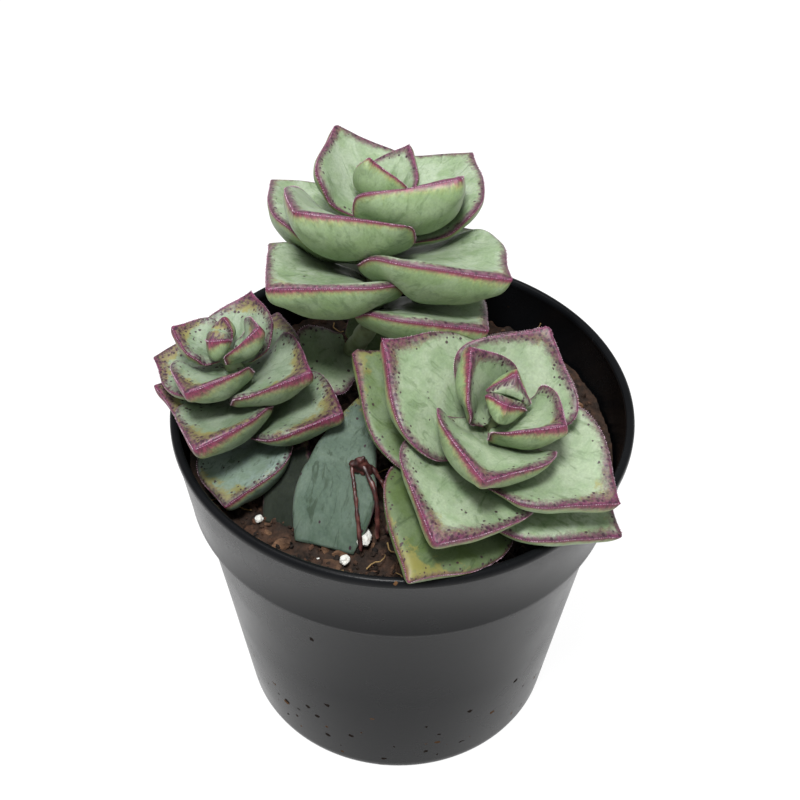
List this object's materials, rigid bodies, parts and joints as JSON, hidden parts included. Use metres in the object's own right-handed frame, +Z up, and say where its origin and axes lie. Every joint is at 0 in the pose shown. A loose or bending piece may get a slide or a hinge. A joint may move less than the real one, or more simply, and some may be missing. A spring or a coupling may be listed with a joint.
{
  "type": "potted succulent",
  "caption": "Leafy succulent with stacked pairs of fleshy pointed leaves on short stems, growing from soil in a round tapered plastic nursery pot with a deep rim band.",
  "frame": {"origin": "centre of the pot's foot, on the surface that the pot stands on", "axes": "+Z up along the pot's axis, +X to the right and -Y towards the front, where the largest rosette leans over the rim"},
  "size_m": [0.1066, 0.1061, 0.1432],
  "materials": {
    "pot_plastic": "black moulded polypropylene with a soft sheen",
    "soil": "damp dark brown compost with bark chips",
    "stem": "pale green, faintly waxy",
    "leaf": "pale waxy green with purple-red margins",
    "root": "dry reddish brown",
    "perlite": "matt white, porous"
  },
  "bodies": {
    "root": {"aerial_root_1": "root", "aerial_root_2": "root", "aerial_root_3": "root", "back_leaf_1a": "leaf", "back_leaf_1b": "leaf", "back_leaf_2a": "leaf", "back_leaf_2b": "leaf", "back_leaf_3a": "leaf", "back_leaf_3b": "leaf", "back_leaf_4a": "leaf", "back_leaf_4b": "leaf", "back_leaf_5a": "leaf", "back_leaf_5b": "leaf", "back_leaf_6a": "leaf", "back_leaf_6b": "leaf", "back_leaf_7a": "leaf", "back_leaf_7b": "leaf", "back_stem": "stem", "front_leaf_1a": "leaf", "front_leaf_1b": "leaf", "front_leaf_2a": "leaf", "front_leaf_2b": "leaf", "front_leaf_3a": "leaf", "front_leaf_3b": "leaf", "front_leaf_4a": "leaf", "front_leaf_4b": "leaf", "front_leaf_5a": "leaf", "front_leaf_5b": "leaf", "front_leaf_6a": "leaf", "front_leaf_6b": "leaf", "front_leaf_7a": "leaf", "front_leaf_7b": "leaf", "front_stem": "stem", "left_leaf_1a": "leaf", "left_leaf_1b": "leaf", "left_leaf_2a": "leaf", "left_leaf_2b": "leaf", "left_leaf_3a": "leaf", "left_leaf_3b": "leaf", "left_leaf_4a": "leaf", "left_leaf_4b": "leaf", "left_leaf_5a": "leaf", "left_leaf_5b": "leaf", "left_leaf_6a": "leaf", "left_leaf_6b": "leaf", "left_leaf_7a": "leaf", "left_leaf_7b": "leaf", "left_stem": "stem", "lone_leaf_1": "leaf", "lone_leaf_2": "leaf", "perlite_1": "perlite", "perlite_2": "perlite", "perlite_3": "perlite", "pot": "pot_plastic", "soil": "soil"}
  },
  "joints": []
}
